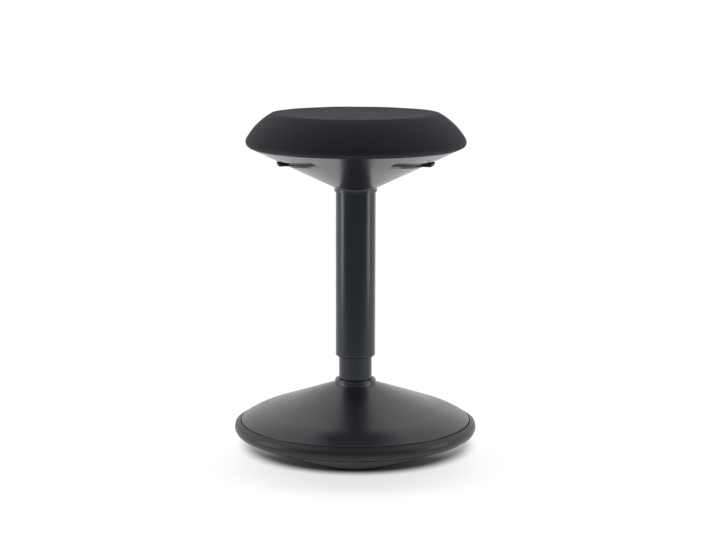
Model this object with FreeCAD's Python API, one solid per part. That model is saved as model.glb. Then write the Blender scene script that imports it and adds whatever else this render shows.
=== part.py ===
"""Height-adjustable wobble stool: weighted dome base, gas-lift column, padded seat.

Millimetres, +Z up. The origin is the centre of the flat contact disc on the floor.
The seat is at its lowest, and the two release levers lie along X.
"""
import FreeCAD, Part
import math
import os

from FreeCAD import Vector

# Base underside: a flat contact disc that bends up into a straight rolling flank
contact_r = 52.0
crown_round = 60.0
flank_angle = 21.0
sole_wall = 4.0
sole_r = 176.0
grip_groove_pitch = 9.0
grip_groove_width = 2.0
grip_groove_depth = 1.0
grip_groove_count = 4

# Moulded tub that carries the column and the ballast
tub_wall = 3.0
tub_rim_inset = 3.6
tub_rim_height = 12.5
pedestal_r = 58.0
pedestal_bore_r = 26.0
pedestal_wall = 4.0
pedestal_ribs = 6
tub_gussets = 12
rib_t = 2.5

# Bumper ring round the rim
ring_width = 7.8
ring_foot_width = 4.4
ring_foot_rise = 2.0
ring_wall_height = 14.0
ring_belly_round = 8.0
ring_edge_inset = 1.4
ring_edge_round = 1.6
ring_foot_round = 3.0
seam_gap = 0.8
seam_step = 0.6
seam_round = 0.7
fit_gap = 0.2

# Cover cone and its collar
cover_overhang = 1.0
cover_rim_height = 6.3
cover_rim_round = 0.9
cover_wall = 3.0
cover_slope = 19.5
cover_shoulder_width = 15.8
cover_shoulder_rise = 10.1
cover_shoulder_round = 150.0
collar_width = 5.2
collar_height = 7.1
collar_fillet = 6.0
collar_flat = 0.1
collar_gap = 0.8
collar_skirt_depth = 7.0
cover_boss_r = 5.0
cover_post_r = 6.5
cover_screw_count = 6
cover_screw_margin = 12.4
cover_boss_drop = 3.0
cover_screw_bite = 9.0
cover_ribs = 6
cover_rib_depth = 6.0
cover_rib_margin = 12.0
cover_rib_runout = 8.0

# Ballast ring
ballast_clearance = 6.0
ballast_margin = 39.4
ballast_height = 33.0
ballast_round = 2.0

# Hub that grips the stand tube
hub_clamp_width = 12.0
hub_flange_t = 4.0
hub_wall = 4.0
hub_height = 44.0
hub_lip = 3.0
hub_screw_circle_r = 44.0
hub_screw_length = 18.0
bolt_r = 3.0
bolt_head_r = 5.0
bolt_head_t = 4.0
bolt_socket_r = 2.5
bolt_socket_depth = 2.5
hole_gap = 0.3
trim_screw_r = 2.0
trim_screw_head_r = 4.0
trim_screw_head_t = 3.0
trim_screw_seat_rise = 1.0

# Gas-lift column
stand_tube_r = 25.0
stand_tube_wall = 2.0
stand_tube_length = 348.0
end_plate_t = 4.0
end_plate_rise = 2.0
bush_length = 92.0
bush_flange_t = 3.0
running_gap = 0.06
piston_rod_r = 5.0
rod_spigot_r = 4.0
race_t = 3.0
race_margin = 4.5
race_bore_gap = 1.0
ball_r = 2.5
ball_count = 10
ball_track_r = 11.5
ball_gap = 0.1
race_space = 4.0
cage_t = 1.6
cage_half_width = 3.0
bump_stop_r = 12.0
bump_stop_t = 8.0
stop_gap = 0.3
socket_drop_gap = 17.0
pressure_tube_r = 14.0
pressure_tube_wall = 1.5
pressure_tube_length = 383.7
pressure_cap_t = 8.0
taper_length = 47.0
taper_loss = 0.8
rod_guide_inset = 2.0
rod_guide_t = 16.0
rod_seal_t = 4.0
piston_t = 16.0
piston_margin = 4.0
stroke = 200.0
clip_t = 1.5
clip_r = 9.0
clip_groove_depth = 0.8
clip_grip = 0.6

# Sleeve that hides the column
column_show = 35.1
sleeve_r = 30.0
sleeve_wall = 2.0
glide_lip = 4.0
glide_depth = 20.0
glide_round = 3.0

# Funnel shell under the seat
shell_wall = 2.8
shell_slope = 25.5
shell_rim_inset = 0.5
neck_wall = 2.0
neck_height = 6.2
neck_fillet = 5.0
slot_rim_margin = 37.3
slot_width = 19.0
slot_centre_shift = 29.8
slot_half_angle = 53.2
slot_round = 5.0
shell_ribs = 8
shell_rib_depth = 5.0
shell_rib_out_r = 80.0
shell_rib_runout = 8.0
hook_count = 6
hook_first_angle = 30.0
hook_rim_margin = 17.5
hook_t = 2.5
hook_width = 14.0
hook_height = 7.5
hook_barb = 2.0
hook_ledge = 3.6
hook_gap = 0.4
hook_barb_edge = 0.5

# Seat mechanism
plate_length = 170.0
plate_width = 110.0
plate_t = 3.0
plate_corner = 12.0
bridge_length = 104.0
bridge_height = 36.1
bridge_gauge = 3.0
bridge_inner_half = 22.0
bridge_web_half_length = 30.0
bridge_toe_height = 12.0
web_below_tube_top = 7.0
socket_r = 19.0
socket_depth = 40.0
socket_top_gap = 2.0
centring_depth = 12.0
centring_flange_t = 9.0
centring_flange_width = 1.0
bolt_spacing_x = 140.0
bolt_spacing_y = 84.0
bolt_tip_gap = 1.0

# Release levers
hinge_x = 40.0
hinge_pin_r = 3.0
hinge_pin_head = 1.5
hinge_hub_r = 5.0
nose_x = 5.0
nose_r = 2.0
nose_bar_t = 2.8
nose_half_width = 6.0
rim_in_margin = 2.5
rim_out_margin = 2.6
rim_lift = 0.5
rim_t = 2.4
rim_reach_margin = 8.0
rim_half_angle = 57.5
spoke_y = 16.0
spoke_width = 6.0
spoke_t = 5.6
spoke_lap = 2.0
spoke_rise = 0.5
brace_angle = 30.0
brace_root_gap = 1.6
tab_half_angle = 16.0
tab_root_gap = 0.8
tab_bottom_rise = 1.8
tab_root_t = 3.2
tab_tip_margin = 2.4
tab_tip_t = 5.0
tab_tip_round = 1.4
tab_throat_t = 2.6
release_pin_r = 3.0
release_pin_proud = 5.0
release_pin_length = 19.0
release_cap_r = 12.0
release_cap_floor = 2.8
release_cap_roof = 3.8
release_cap_web = 2.5
nose_gap = 0.2
side_gap = 0.3

# Seat board and cushion
board_r = 156.5
board_t = 12.0
fabric_t = 1.2
fabric_ease = 0.3
hem_width = 10.0
cushion_height = 49.9
cushion_dish = 4.5
cushion_dish_r = 68.0
cushion_dish_round = 500.0
cushion_crease_margin = 31.1
cushion_crease_drop = 0.3
cushion_crest_width = 8.4
cushion_crest_round = 10.0
cushion_crease_round = 2.2
cushion_shoulder_width = 22.3
cushion_shoulder_drop = 13.0
cushion_flank_round = 100.0
cushion_overhang = 13.2
cushion_roll_rise = 3.8
cushion_roll_round = 9.0
t_nut_flange_r = 9.0
t_nut_flange_t = 1.5
t_nut_barrel_r = 4.2
t_nut_barrel = 8.5
staple_count = 28
staple_leg = 6.0
staple_wire = 0.7
staple_width = 8.0
staple_inset = 1.6

# Roundings of small moulded and turned edges, and how far features run into each other
edge_round = 1.0
fine_round = 0.8
soft_round = 2.0
overlap = 1.0


def tan(angle):
    return math.tan(math.radians(angle))


def cos(angle):
    return math.cos(math.radians(angle))


def sin(angle):
    return math.sin(math.radians(angle))


def polar(radius, angle, z=0.0):
    return Vector(radius * cos(angle), radius * sin(angle), z)


def rounded_wire(corners):
    """Closed wire in the XZ plane through corners (r, z) or (r, z, rounding)."""
    edges = []
    ends = []
    count = len(corners)
    for i, corner in enumerate(corners):
        here = Vector(corner[0], 0, corner[1])
        radius = corner[2] if len(corner) > 2 else 0.0
        if radius <= 0:
            ends.append((here, here, None))
            continue
        before = corners[i - 1]
        after = corners[(i + 1) % count]
        back = (Vector(before[0], 0, before[1]) - here).normalize()
        ahead = (Vector(after[0], 0, after[1]) - here).normalize()
        half = back.getAngle(ahead) / 2
        reach = radius / math.tan(half)
        middle = here + (back + ahead).normalize() * (radius / math.sin(half) - radius)
        ends.append((here + back * reach, here + ahead * reach, middle))
    for i in range(count):
        start, end, middle = ends[i]
        if middle is not None:
            edges.append(Part.Arc(start, middle, end).toShape())
        following = ends[(i + 1) % count][0]
        if end.distanceToPoint(following) > 1e-6:
            edges.append(Part.LineSegment(end, following).toShape())
    return Part.Wire(edges)


def spin(corners, start=0.0, span=360.0):
    """Solid of revolution about Z from a rounded section."""
    face = Part.Face(rounded_wire(corners))
    face.rotate(Vector(0, 0, 0), Vector(0, 0, 1), start)
    return face.revolve(Vector(0, 0, 0), Vector(0, 0, 1), span)


def inset(corners, depth):
    """Section moved inwards by depth, with any edge on the axis left there.

    The corners run clockwise seen with r to the right and z up.
    """
    count = len(corners)
    lines = []
    for i in range(count):
        r0, z0 = corners[i][:2]
        r1, z1 = corners[(i + 1) % count][:2]
        along = Vector(r1 - r0, z1 - z0, 0).normalize()
        shift = 0.0 if r0 == 0 and r1 == 0 else depth
        lines.append((Vector(r0 + along.y * shift, z0 - along.x * shift, 0), along))
    moved = []
    for i, corner in enumerate(corners):
        (p, u), (q, v) = lines[i - 1], lines[i]
        cross = u.x * v.y - u.y * v.x
        along = ((q.x - p.x) * v.y - (q.y - p.y) * v.x) / cross
        point = p + u * along
        radius = corner[2] if len(corner) > 2 else 0.0
        if radius > 0:
            radius = radius - depth if cross < 0 else radius + depth
        moved.append((point.x, point.y, max(radius, 0.0)))
    return moved


def disc(radius, low, high, centre=(0.0, 0.0)):
    return Part.makeCylinder(radius, high - low, Vector(centre[0], centre[1], low))


def tube(inner, outer, low, high, centre=(0.0, 0.0)):
    return disc(outer, low, high, centre).cut(disc(inner, low - overlap, high + overlap, centre))


def block(x0, x1, y0, y1, z0, z1):
    return Part.makeBox(x1 - x0, y1 - y0, z1 - z0, Vector(x0, y0, z0))


def around(count, first=0.0):
    """Angles of evenly spaced copies."""
    return [first + 360.0 * i / count for i in range(count)]


def turned(shape, angle):
    copy = shape.copy()
    copy.rotate(Vector(0, 0, 0), Vector(0, 0, 1), angle)
    return copy


def fuse(shapes):
    return shapes[0].multiFuse(shapes[1:]).removeSplitter()


def radial_plate(corners, thickness):
    """Flat plate in the XZ plane, thickness centred on it."""
    wire = rounded_wire(corners)
    wire.translate(Vector(0, -thickness / 2, 0))
    return Part.Face(wire).extrude(Vector(0, thickness, 0))


def flank_z(radius, depth=0.0):
    """Height of the straight flank, moved inwards by depth."""
    return (radius - contact_r) * tan(flank_angle) + depth / cos(flank_angle)


def dish(radius, depth):
    """Section of the underside from the axis out to a radius, moved inwards by depth."""
    bend_r = contact_r - depth * tan(flank_angle / 2)
    return [(0, depth), (bend_r, depth, crown_round - depth), (radius, flank_z(radius, depth))]


def shell_z(radius):
    """Height of the shell's outer cone."""
    return shell_rim_z - (shell_rim_r - radius) * tan(shell_slope)


def shell_inner_z(radius):
    return shell_z(radius) + shell_wall / cos(shell_slope)


def cover_z(radius):
    """Height of the cover's straight cone."""
    return cover_shoulder_z + (cover_shoulder_r - radius) * tan(cover_slope)


def cover_inner_z(radius):
    return cover_z(radius) - cover_wall / cos(cover_slope)


# Base radii and heights that follow from the sizes above
tub_floor = sole_wall + tub_wall
tub_r = sole_r - tub_rim_inset
tub_inner_r = tub_r - tub_wall
tub_top_z = flank_z(tub_r, sole_wall) + tub_rim_height
cover_screw_circle_r = tub_inner_r - cover_screw_margin
ring_r = sole_r + ring_width
ring_foot_z = flank_z(sole_r) + ring_foot_rise
cover_r = tub_r + cover_overhang
cover_rim_z = tub_top_z + cover_rim_height
cover_shoulder_r = cover_r - cover_shoulder_width
cover_shoulder_z = cover_rim_z + cover_shoulder_rise
cover_bore_r = stand_tube_r + collar_gap
cover_joint_z = tub_top_z - cover_boss_drop
cover_screw_seat_z = (flank_z(cover_screw_circle_r + trim_screw_head_r, sole_wall)
                      + trim_screw_head_t + trim_screw_seat_rise)
collar_r = cover_bore_r + collar_width
collar_top_z = cover_z(collar_r) + collar_height
ballast_in_r = pedestal_r + ballast_clearance
ballast_out_r = tub_inner_r - ballast_margin
ballast_top_z = tub_floor + ballast_height
hub_flange_r = ballast_in_r + hub_clamp_width
hub_top_z = ballast_top_z + hub_flange_t

# Column heights, from the hub upwards. The bump stop is as tall as keeps the socket off the bush
column_bore_r = stand_tube_r - stand_tube_wall
stand_tube_top_z = hub_top_z + stand_tube_length
end_plate_z = hub_top_z + end_plate_rise
clip_z = end_plate_z - stop_gap - clip_t
lower_race_z = end_plate_z + end_plate_t
ball_z = lower_race_z + race_t + race_space / 2
upper_race_z = lower_race_z + race_t + race_space
rod_shoulder_z = upper_race_z + race_t
pressure_bore_r = pressure_tube_r - pressure_tube_wall
socket_low_z = stand_tube_top_z + bush_flange_t + socket_drop_gap
bump_stop_top_z = max(rod_shoulder_z + bump_stop_t,
                      socket_low_z + socket_depth - pressure_tube_length - stop_gap)
pressure_tube_bottom_z = bump_stop_top_z + stop_gap
pressure_tube_top_z = pressure_tube_bottom_z + pressure_tube_length
rod_guide_z = pressure_tube_bottom_z + rod_guide_inset
rod_seal_z = rod_guide_z + rod_guide_t
piston_z = rod_seal_z + rod_seal_t + stroke + piston_margin

# Seat heights and radii, from the gas cylinder's top
bridge_z = pressure_tube_top_z - web_below_tube_top
plate_z = bridge_z + bridge_height
board_z = plate_z + plate_t
board_top_z = board_z + board_t
sleeve_top_z = bridge_z - centring_flange_t
sleeve_bore_r = sleeve_r - sleeve_wall
sleeve_bottom_z = collar_top_z + column_show + glide_lip
cushion_tuck_r = board_r + fabric_t + fabric_ease
cushion_bottom_z = board_z - fabric_t
cushion_top_z = board_z + cushion_height
hem_r = board_r - hem_width
cushion_crease_r = board_r - cushion_crease_margin
shell_rim_r = cushion_tuck_r - shell_rim_inset
shell_rim_z = cushion_bottom_z - fabric_ease
neck_r = sleeve_r + neck_wall
slot_out_r = shell_rim_r - slot_rim_margin
slot_in_r = slot_out_r - slot_width
hook_r = shell_rim_r - hook_rim_margin
release_pin_top_z = pressure_tube_top_z + release_pin_proud
hinge_z = release_pin_top_z + release_cap_floor + nose_gap + nose_r
rim_in_r = slot_in_r - rim_in_margin
rim_out_r = slot_out_r - rim_out_margin
tab_tip_r = slot_out_r - tab_tip_margin
rim_reach_r = shell_rim_r - rim_reach_margin


def make_sole():
    """Rubber dome with grip grooves cut in its flat."""
    body = spin(dish(sole_r, 0.0) + dish(sole_r, sole_wall)[::-1])
    for i in range(1, grip_groove_count + 1):
        middle = grip_groove_pitch * i
        body = body.cut(tube(middle - grip_groove_width / 2, middle + grip_groove_width / 2,
                             -overlap, grip_groove_depth))
    return body


def make_tub():
    """Moulded tub: conical floor, rim wall, ribbed pedestal, gussets and screw posts."""
    walls = dish(tub_r, sole_wall) + [(tub_r, tub_top_z), (tub_inner_r, tub_top_z)]
    body = spin(walls + dish(tub_inner_r, tub_floor)[::-1])
    floor_solid = spin(dish(tub_r, sole_wall) + [(tub_r, tub_top_z), (0, tub_top_z)])
    pieces = [body]
    pieces.append(tube(pedestal_r - pedestal_wall, pedestal_r, sole_wall, ballast_top_z))
    pieces.append(tube(pedestal_bore_r, pedestal_bore_r + pedestal_wall, sole_wall, ballast_top_z))
    for angle in around(pedestal_ribs):
        rib = block(pedestal_bore_r + overlap, pedestal_r - overlap, -rib_t / 2,
                    rib_t / 2, sole_wall, ballast_top_z)
        boss = disc(bolt_r + pedestal_wall, sole_wall, ballast_top_z, (hub_screw_circle_r, 0))
        pieces.append(turned(rib, angle))
        pieces.append(turned(boss, angle))
    gusset_r = ballast_out_r + ballast_clearance
    for angle in around(tub_gussets, 180.0 / tub_gussets):
        gusset = radial_plate([
            (gusset_r, sole_wall),
            (gusset_r, flank_z(gusset_r, tub_floor + overlap)),
            (tub_inner_r + overlap, cover_joint_z - overlap),
            (tub_inner_r + overlap, sole_wall),
        ], rib_t)
        pieces.append(turned(gusset, angle))
    for angle in around(cover_screw_count):
        post = disc(cover_post_r, sole_wall, cover_joint_z, (cover_screw_circle_r, 0))
        pieces.append(turned(post, angle))
    body = fuse(pieces).common(floor_solid)
    for angle in around(cover_screw_count):
        drill = disc(trim_screw_r + hole_gap, 0, cover_joint_z + overlap,
                     (cover_screw_circle_r, 0))
        pocket = disc(trim_screw_head_r + hole_gap, 0, cover_screw_seat_z,
                      (cover_screw_circle_r, 0))
        body = body.cut(turned(drill.fuse(pocket), angle))
    for angle in around(pedestal_ribs):
        pilot = disc(bolt_r, hub_top_z - hub_screw_length, ballast_top_z + overlap,
                     (hub_screw_circle_r, 0))
        body = body.cut(turned(pilot, angle))
    return body


def make_ring():
    """Bumper ring that wraps the tub's rim and frames the cover."""
    top_edge_z = ring_foot_z + ring_wall_height
    seam_r = cover_r + seam_gap
    bore_r = tub_r + fit_gap
    return spin([
        (bore_r, flank_z(bore_r, sole_wall)),
        (sole_r, flank_z(sole_r, sole_wall)),
        (sole_r, ring_foot_z),
        (sole_r + ring_foot_width, ring_foot_z, ring_foot_round),
        (ring_r, ring_foot_z + ring_wall_height / 2, ring_belly_round),
        (ring_r - ring_edge_inset, top_edge_z, ring_edge_round),
        (seam_r, cover_rim_z - seam_step, seam_round),
        (seam_r, tub_top_z),
        (bore_r, tub_top_z),
    ][::-1])


def make_cover():
    """Cone cover with its collar, skirt, ribs and screw bosses."""
    knee_z = cover_z(collar_r)
    outside = [
        (0, tub_top_z),
        (0, collar_top_z),
        (collar_r, collar_top_z, collar_width / 2 - collar_flat / 2),
        (collar_r, knee_z, collar_fillet),
        (cover_shoulder_r, cover_shoulder_z, cover_shoulder_round),
        (cover_r, cover_rim_z, cover_rim_round),
        (cover_r, tub_top_z),
    ]
    inner_r = cover_r - cover_wall
    skirt_r = cover_bore_r + cover_wall
    skirt_z = cover_inner_z(skirt_r) - collar_skirt_depth
    rim_slope = (cover_shoulder_z - cover_rim_z) / (cover_r - cover_shoulder_r)
    drop = cover_wall * math.sqrt(1 + rim_slope ** 2)
    cavity = spin([
        (0, tub_top_z - overlap),
        (0, skirt_z),
        (skirt_r, skirt_z),
        (skirt_r, cover_inner_z(skirt_r)),
        (cover_shoulder_r, cover_inner_z(cover_shoulder_r), cover_shoulder_round - cover_wall),
        (inner_r, cover_rim_z + (cover_r - inner_r) * rim_slope - drop),
        (inner_r, tub_top_z - overlap),
    ])
    hull = spin(outside)
    pieces = [hull.cut(cavity)]
    for angle in around(cover_screw_count):
        boss = disc(cover_boss_r, cover_joint_z, cover_z(cover_screw_circle_r),
                    (cover_screw_circle_r, 0))
        pieces.append(turned(boss, angle))
    for angle in around(cover_ribs, 180.0 / cover_ribs):
        out_r = cover_shoulder_r - cover_rib_margin
        foot_r = out_r - cover_rib_runout
        rib = radial_plate([
            (skirt_r - overlap, cover_inner_z(skirt_r) + overlap),
            (out_r, cover_inner_z(out_r) + overlap),
            (out_r, cover_inner_z(out_r) - overlap),
            (foot_r, cover_inner_z(foot_r) - cover_rib_depth),
            (skirt_r - overlap, cover_inner_z(skirt_r) - cover_rib_depth),
        ], rib_t)
        pieces.append(turned(rib, angle))
    below = tube(cover_screw_circle_r - 2 * cover_boss_r, inner_r, cover_joint_z,
                 tub_top_z + overlap)
    body = fuse(pieces).common(hull.fuse(below))
    for angle in around(cover_screw_count):
        pilot = disc(trim_screw_r, cover_joint_z - overlap, cover_joint_z + cover_screw_bite,
                     (cover_screw_circle_r, 0))
        body = body.cut(turned(pilot, angle))
    return body.cut(disc(cover_bore_r, 0, collar_top_z + overlap))


def make_ballast():
    """Cast ring that lies on the tub's conical floor."""
    return spin([
        (ballast_in_r, flank_z(ballast_in_r, tub_floor)),
        (ballast_in_r, ballast_top_z, ballast_round),
        (ballast_out_r, ballast_top_z, edge_round),
        (ballast_out_r, flank_z(ballast_out_r, tub_floor)),
    ])


def make_hub():
    """Flanged steel cup that grips the stand tube and clamps the ballast."""
    body = fuse([
        tube(column_bore_r - hub_lip, hub_flange_r, ballast_top_z, hub_top_z),
        tube(stand_tube_r, stand_tube_r + hub_wall, hub_top_z - overlap, hub_top_z + hub_height),
    ])
    hole = disc(bolt_r + hole_gap, 0, hub_top_z + overlap, (hub_screw_circle_r, 0))
    for angle in around(pedestal_ribs):
        body = body.cut(turned(hole, angle))
    return body


def screw(length, seat_z, shank_r, head_r, head_t, up=True):
    """Pan-head screw on the Z axis with its head against a seat."""
    sign = 1 if up else -1
    head = Part.makeCylinder(head_r, head_t, Vector(0, 0, seat_z), Vector(0, 0, -sign))
    shank = Part.makeCylinder(shank_r, length, Vector(0, 0, seat_z), Vector(0, 0, sign))
    return head.fuse(shank)


def ring_of(shape, radius, count, first=0.0):
    """Group of separate copies on a circle."""
    moved = shape.copy()
    moved.translate(Vector(radius, 0, 0))
    return Part.makeCompound([turned(moved, angle) for angle in around(count, first)])


def race(low, groove_up):
    """Grooved washer of the thrust bearing."""
    bore = rod_spigot_r + race_bore_gap if groove_up else rod_spigot_r
    body = tube(bore, ball_track_r + race_margin, low, low + race_t)
    return body.cut(Part.makeTorus(ball_track_r, ball_r + ball_gap, Vector(0, 0, ball_z)))


def make_balls():
    ball = Part.makeSphere(ball_r)
    ball.translate(Vector(0, 0, ball_z))
    return ring_of(ball, ball_track_r, ball_count)


def make_cage():
    body = tube(ball_track_r - cage_half_width, ball_track_r + cage_half_width,
                ball_z - cage_t / 2, ball_z + cage_t / 2)
    for angle in around(ball_count):
        pocket = disc(ball_r + ball_gap, ball_z - cage_t, ball_z + cage_t, (ball_track_r, 0))
        body = body.cut(turned(pocket, angle))
    return body


def make_piston_rod():
    rod = disc(piston_rod_r, rod_shoulder_z, piston_z + piston_t)
    spigot = disc(rod_spigot_r, clip_z - clip_t, rod_shoulder_z + overlap)
    groove = tube(rod_spigot_r - clip_groove_depth, rod_spigot_r + overlap, clip_z, clip_z + clip_t)
    return rod.fuse(spigot).removeSplitter().cut(groove)


def make_rod_clip():
    neck = rod_spigot_r - clip_groove_depth
    ring = tube(neck, clip_r, clip_z, clip_z + clip_t)
    half = neck - clip_grip
    mouth = block(0, clip_r + overlap, -half, half, clip_z - overlap, clip_z + clip_t + overlap)
    return ring.cut(mouth)


def make_end_plate():
    return tube(rod_spigot_r + running_gap, column_bore_r, end_plate_z, end_plate_z + end_plate_t)


def make_guide_bush():
    return spin([
        (pressure_tube_r + running_gap, stand_tube_top_z - bush_length),
        (pressure_tube_r + running_gap, stand_tube_top_z + bush_flange_t, edge_round),
        (stand_tube_r, stand_tube_top_z + bush_flange_t, edge_round),
        (stand_tube_r, stand_tube_top_z),
        (column_bore_r, stand_tube_top_z),
        (column_bore_r, stand_tube_top_z - bush_length, edge_round),
    ])


def make_pressure_tube():
    """Gas cylinder with its tapered top and closed cap."""
    cap_z = pressure_tube_top_z - pressure_cap_t
    return spin([
        (pressure_bore_r, pressure_tube_bottom_z),
        (pressure_bore_r, cap_z - pressure_cap_t / 2),
        (release_pin_r + running_gap, cap_z),
        (release_pin_r + running_gap, pressure_tube_top_z),
        (pressure_tube_r - taper_loss, pressure_tube_top_z, fine_round),
        (pressure_tube_r, pressure_tube_top_z - taper_length),
        (pressure_tube_r, pressure_tube_bottom_z, fine_round),
    ])


def taper_r(z):
    """Radius of the gas cylinder's tapered top."""
    return pressure_tube_r - taper_loss * (1 - (pressure_tube_top_z - z) / taper_length)


def make_socket():
    """Tapered steel socket that hangs from the bridge."""
    top_z = pressure_tube_top_z - socket_top_gap
    bottom_z = pressure_tube_top_z - socket_depth
    return spin([
        (taper_r(bottom_z), bottom_z),
        (taper_r(top_z), top_z),
        (socket_r, top_z),
        (socket_r, bottom_z, soft_round),
    ])


def make_sleeve():
    return tube(sleeve_bore_r, sleeve_r, sleeve_bottom_z, sleeve_top_z)


def make_glide():
    """Slide bush in the sleeve's lower end, with the rounded lip that shows."""
    bore_r = stand_tube_r + running_gap
    bottom_z = sleeve_bottom_z - glide_lip
    return spin([
        (bore_r, bottom_z, fine_round),
        (bore_r, sleeve_bottom_z + glide_depth),
        (sleeve_bore_r, sleeve_bottom_z + glide_depth, fine_round),
        (sleeve_bore_r, sleeve_bottom_z),
        (sleeve_r, sleeve_bottom_z),
        (sleeve_r, bottom_z, glide_round),
    ])


def make_centring_ring():
    """Ring that centres the sleeve on the socket, under the bridge."""
    return spin([
        (socket_r, sleeve_top_z - centring_depth),
        (socket_r, bridge_z),
        (sleeve_r + centring_flange_width, bridge_z, fine_round),
        (sleeve_r + centring_flange_width, sleeve_top_z),
        (sleeve_bore_r, sleeve_top_z),
        (sleeve_bore_r, sleeve_top_z - centring_depth, edge_round),
    ])


def sector_prism(inner, outer, middle, half, low, high, rounding=0.0):
    """Upright prism on a ring sector, with its upright edges rounded."""
    a, b = middle - half, middle + half
    edges = [
        Part.Arc(polar(outer, a, low), polar(outer, middle, low), polar(outer, b, low)).toShape(),
        Part.LineSegment(polar(outer, b, low), polar(inner, b, low)).toShape(),
        Part.Arc(polar(inner, b, low), polar(inner, middle, low), polar(inner, a, low)).toShape(),
        Part.LineSegment(polar(inner, a, low), polar(outer, a, low)).toShape(),
    ]
    solid = Part.Face(Part.Wire(edges)).extrude(Vector(0, 0, high - low))
    if rounding <= 0:
        return solid
    upright = [e for e in solid.Edges
               if abs(e.Vertexes[0].Z - e.Vertexes[-1].Z) > (high - low) / 2]
    return solid.makeFillet(rounding, upright)


def slot_prism(inner, outer, half, low, high, rounding=0.0):
    """Curved slot at +X, with its arc centred past the seat's axis."""
    prism = sector_prism(inner + slot_centre_shift, outer + slot_centre_shift, 0.0, half,
                         low, high, rounding)
    prism.translate(Vector(-slot_centre_shift, 0, 0))
    return prism


def slot_point(radius, angle, height):
    """Point on a slot's arc that lies at this radius where it crosses the X axis."""
    return polar(radius + slot_centre_shift, angle, height) - Vector(slot_centre_shift, 0, 0)


def hook(foot_in_z, foot_out_z):
    """Snap hook that stands on the shell and clips into the board."""
    half = hook_t / 2
    ledge_z = board_z + hook_ledge + hook_gap
    top_z = board_z + hook_height
    return radial_plate([
        (hook_r - half, foot_in_z),
        (hook_r - half, top_z),
        (hook_r + half, top_z),
        (hook_r + half + hook_barb, ledge_z + hook_barb_edge),
        (hook_r + half + hook_barb, ledge_z),
        (hook_r + half, ledge_z),
        (hook_r + half, foot_out_z),
    ], hook_width)


def make_shell():
    """Funnel shell with neck, lever slots, ribs and snap hooks."""
    lip_z = shell_z(neck_r) - neck_height
    body = spin([
        (sleeve_r, lip_z),
        (sleeve_r, shell_inner_z(sleeve_r)),
        (shell_rim_r - shell_wall / sin(shell_slope), shell_rim_z),
        (shell_rim_r, shell_rim_z, fine_round),
        (neck_r, shell_z(neck_r), neck_fillet),
        (neck_r, lip_z, fine_round),
    ])
    pieces = [body]
    for angle in around(shell_ribs, 180.0 / shell_ribs):
        low_r = neck_r + shell_wall
        knee_r = shell_rib_out_r - shell_rib_runout
        rib = radial_plate([
            (low_r, shell_inner_z(low_r) - overlap),
            (low_r, shell_inner_z(low_r) + shell_rib_depth),
            (knee_r, shell_inner_z(knee_r) + shell_rib_depth),
            (shell_rib_out_r, shell_inner_z(shell_rib_out_r) - overlap),
        ], rib_t)
        pieces.append(turned(rib, angle))
    for angle in around(hook_count, hook_first_angle):
        foot_in_z = shell_inner_z(hook_r - hook_t / 2) - shell_wall / 2
        foot_out_z = shell_inner_z(hook_r + hook_t / 2) - shell_wall / 2
        pieces.append(turned(hook(foot_in_z, foot_out_z), angle))
    body = fuse(pieces)
    slot = slot_prism(slot_in_r, slot_out_r, slot_half_angle,
                      shell_z(slot_in_r) - shell_wall, shell_rim_z, slot_round)
    for side in (0.0, 180.0):
        body = body.cut(turned(slot, side))
    return body


def make_seat_plate():
    """Pressed steel plate that bolts under the board."""
    plate = block(-plate_length / 2, plate_length / 2, -plate_width / 2, plate_width / 2,
                  plate_z, board_z)
    upright = [e for e in plate.Edges if abs(e.Vertexes[0].Z - e.Vertexes[-1].Z) > plate_t / 2]
    plate = plate.makeFillet(plate_corner, upright)
    return drilled(plate, bolt_r + hole_gap, plate_z - overlap, board_z + overlap)


def bolt_places():
    return [(sx * bolt_spacing_x / 2, sy * bolt_spacing_y / 2)
            for sx in (-1, 1) for sy in (-1, 1)]


def drilled(shape, radius, low, high):
    for place in bolt_places():
        shape = shape.cut(disc(radius, low, high, place))
    return shape


def crossbar(x, radius, half_length, middle_y=0.0):
    """Round bar along Y at the height of the lever hinges."""
    return Part.makeCylinder(radius, 2 * half_length, Vector(x, middle_y - half_length, hinge_z),
                             Vector(0, 1, 0))


def make_bridge():
    """Channel under the plate that carries the socket and the lever pins."""
    half = bridge_inner_half
    out = half + bridge_gauge
    low, web_top = bridge_z, bridge_z + bridge_gauge
    walls = [block(-bridge_length / 2, bridge_length / 2, -out, -half, low, plate_z),
             block(-bridge_length / 2, bridge_length / 2, half, out, low, plate_z)]
    web = block(-bridge_web_half_length, bridge_web_half_length, -out, out, low, web_top)
    body = fuse(walls + [web])
    trim = bridge_length / 2 - bridge_web_half_length
    past = out + overlap
    for side in (-1, 1):
        x0 = side * bridge_length / 2
        corner = Part.makePolygon([
            Vector(x0, -past, low - overlap), Vector(x0 - side * trim, -past, low - overlap),
            Vector(x0, -past, low + bridge_toe_height), Vector(x0, -past, low - overlap)])
        body = body.cut(Part.Face(corner).extrude(Vector(0, 2 * past, 0)))
        body = body.cut(crossbar(side * hinge_x, hinge_pin_r, past))
    return body.cut(disc(socket_r, low - overlap, web_top + overlap))


def make_hinge_pins():
    out = bridge_inner_half + bridge_gauge
    pins = []
    for side in (-1, 1):
        shank = crossbar(side * hinge_x, hinge_pin_r, out + overlap)
        head = crossbar(side * hinge_x, hinge_pin_r + hinge_pin_head, hinge_pin_head / 2,
                        -out - hinge_pin_head / 2)
        pins.append(shank.fuse(head).removeSplitter())
    return Part.makeCompound(pins)


def rim_z(radius):
    """Underside of the lever rim, clear of the shell inside."""
    return shell_inner_z(radius) + rim_lift


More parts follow.
